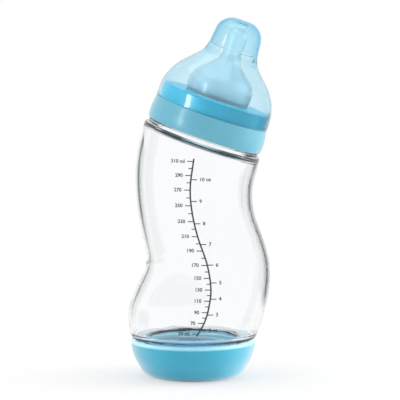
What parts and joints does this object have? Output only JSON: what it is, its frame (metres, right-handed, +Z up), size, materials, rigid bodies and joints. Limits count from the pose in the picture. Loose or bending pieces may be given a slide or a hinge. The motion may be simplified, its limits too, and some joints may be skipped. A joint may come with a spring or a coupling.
{
  "type": "curved feeding bottle",
  "caption": "Baby bottle with a clear S-curved body, a screw ring with a silicone teat on a leaning neck, a push-on cap and a vented screw-on base.",
  "frame": {"origin": "middle of the foot of the base, on the table", "axes": "+Z up, along the axis of the base; +X the way the neck and cap lean; the front with the scale faces -Y"},
  "size_m": [0.0761, 0.0702, 0.1911],
  "materials": {
    "clear_plastic": "clear polished",
    "ring_plastic": "satin, pale blue",
    "teat_silicone": "clear soft silicone",
    "cap_plastic": "translucent, tinted pale blue",
    "base_plastic": "satin, blue",
    "valve_silicone": "milky soft silicone"
  },
  "bodies": {
    "bottle": {"bottle": "clear_plastic"},
    "teat": {"teat": "teat_silicone"},
    "screw_ring": {"screw_ring": "ring_plastic"},
    "cap": {"cap": "cap_plastic"},
    "vent_valve": {"vent_valve": "valve_silicone"},
    "base_cap": {"base_cap": "base_plastic"}
  },
  "joints": [
    {"name": "teat_lift", "type": "slide", "parent": "bottle", "child": "teat", "axis": [0.3239, 0, 0.9461], "range_m": [0, 0.021]},
    {"name": "ring_turn", "type": "hinge", "parent": "teat", "child": "screw_ring", "pos_m": [0.0052, 0, 0.127], "axis": [0.3239, 0, 0.9461], "range_deg": [0, 1260]},
    {"name": "cap_pull", "type": "slide", "parent": "screw_ring", "child": "cap", "axis": [0.3239, 0, 0.9461], "range_m": [0, 0.052]},
    {"name": "valve_drop", "type": "slide", "parent": "bottle", "child": "vent_valve", "axis": [0, 0, -1], "range_m": [0, 0.015]},
    {"name": "base_turn", "type": "hinge", "parent": "vent_valve", "child": "base_cap", "pos_m": [0, 0, 0], "axis": [0, 0, -1], "range_deg": [0, 1080]}
  ],
  "couplings": [
    {"joint": "teat_lift", "follows": "ring_turn", "m_per_rad": 0.00095492},
    {"joint": "valve_drop", "follows": "base_turn", "m_per_rad": 0.00079577}
  ]
}
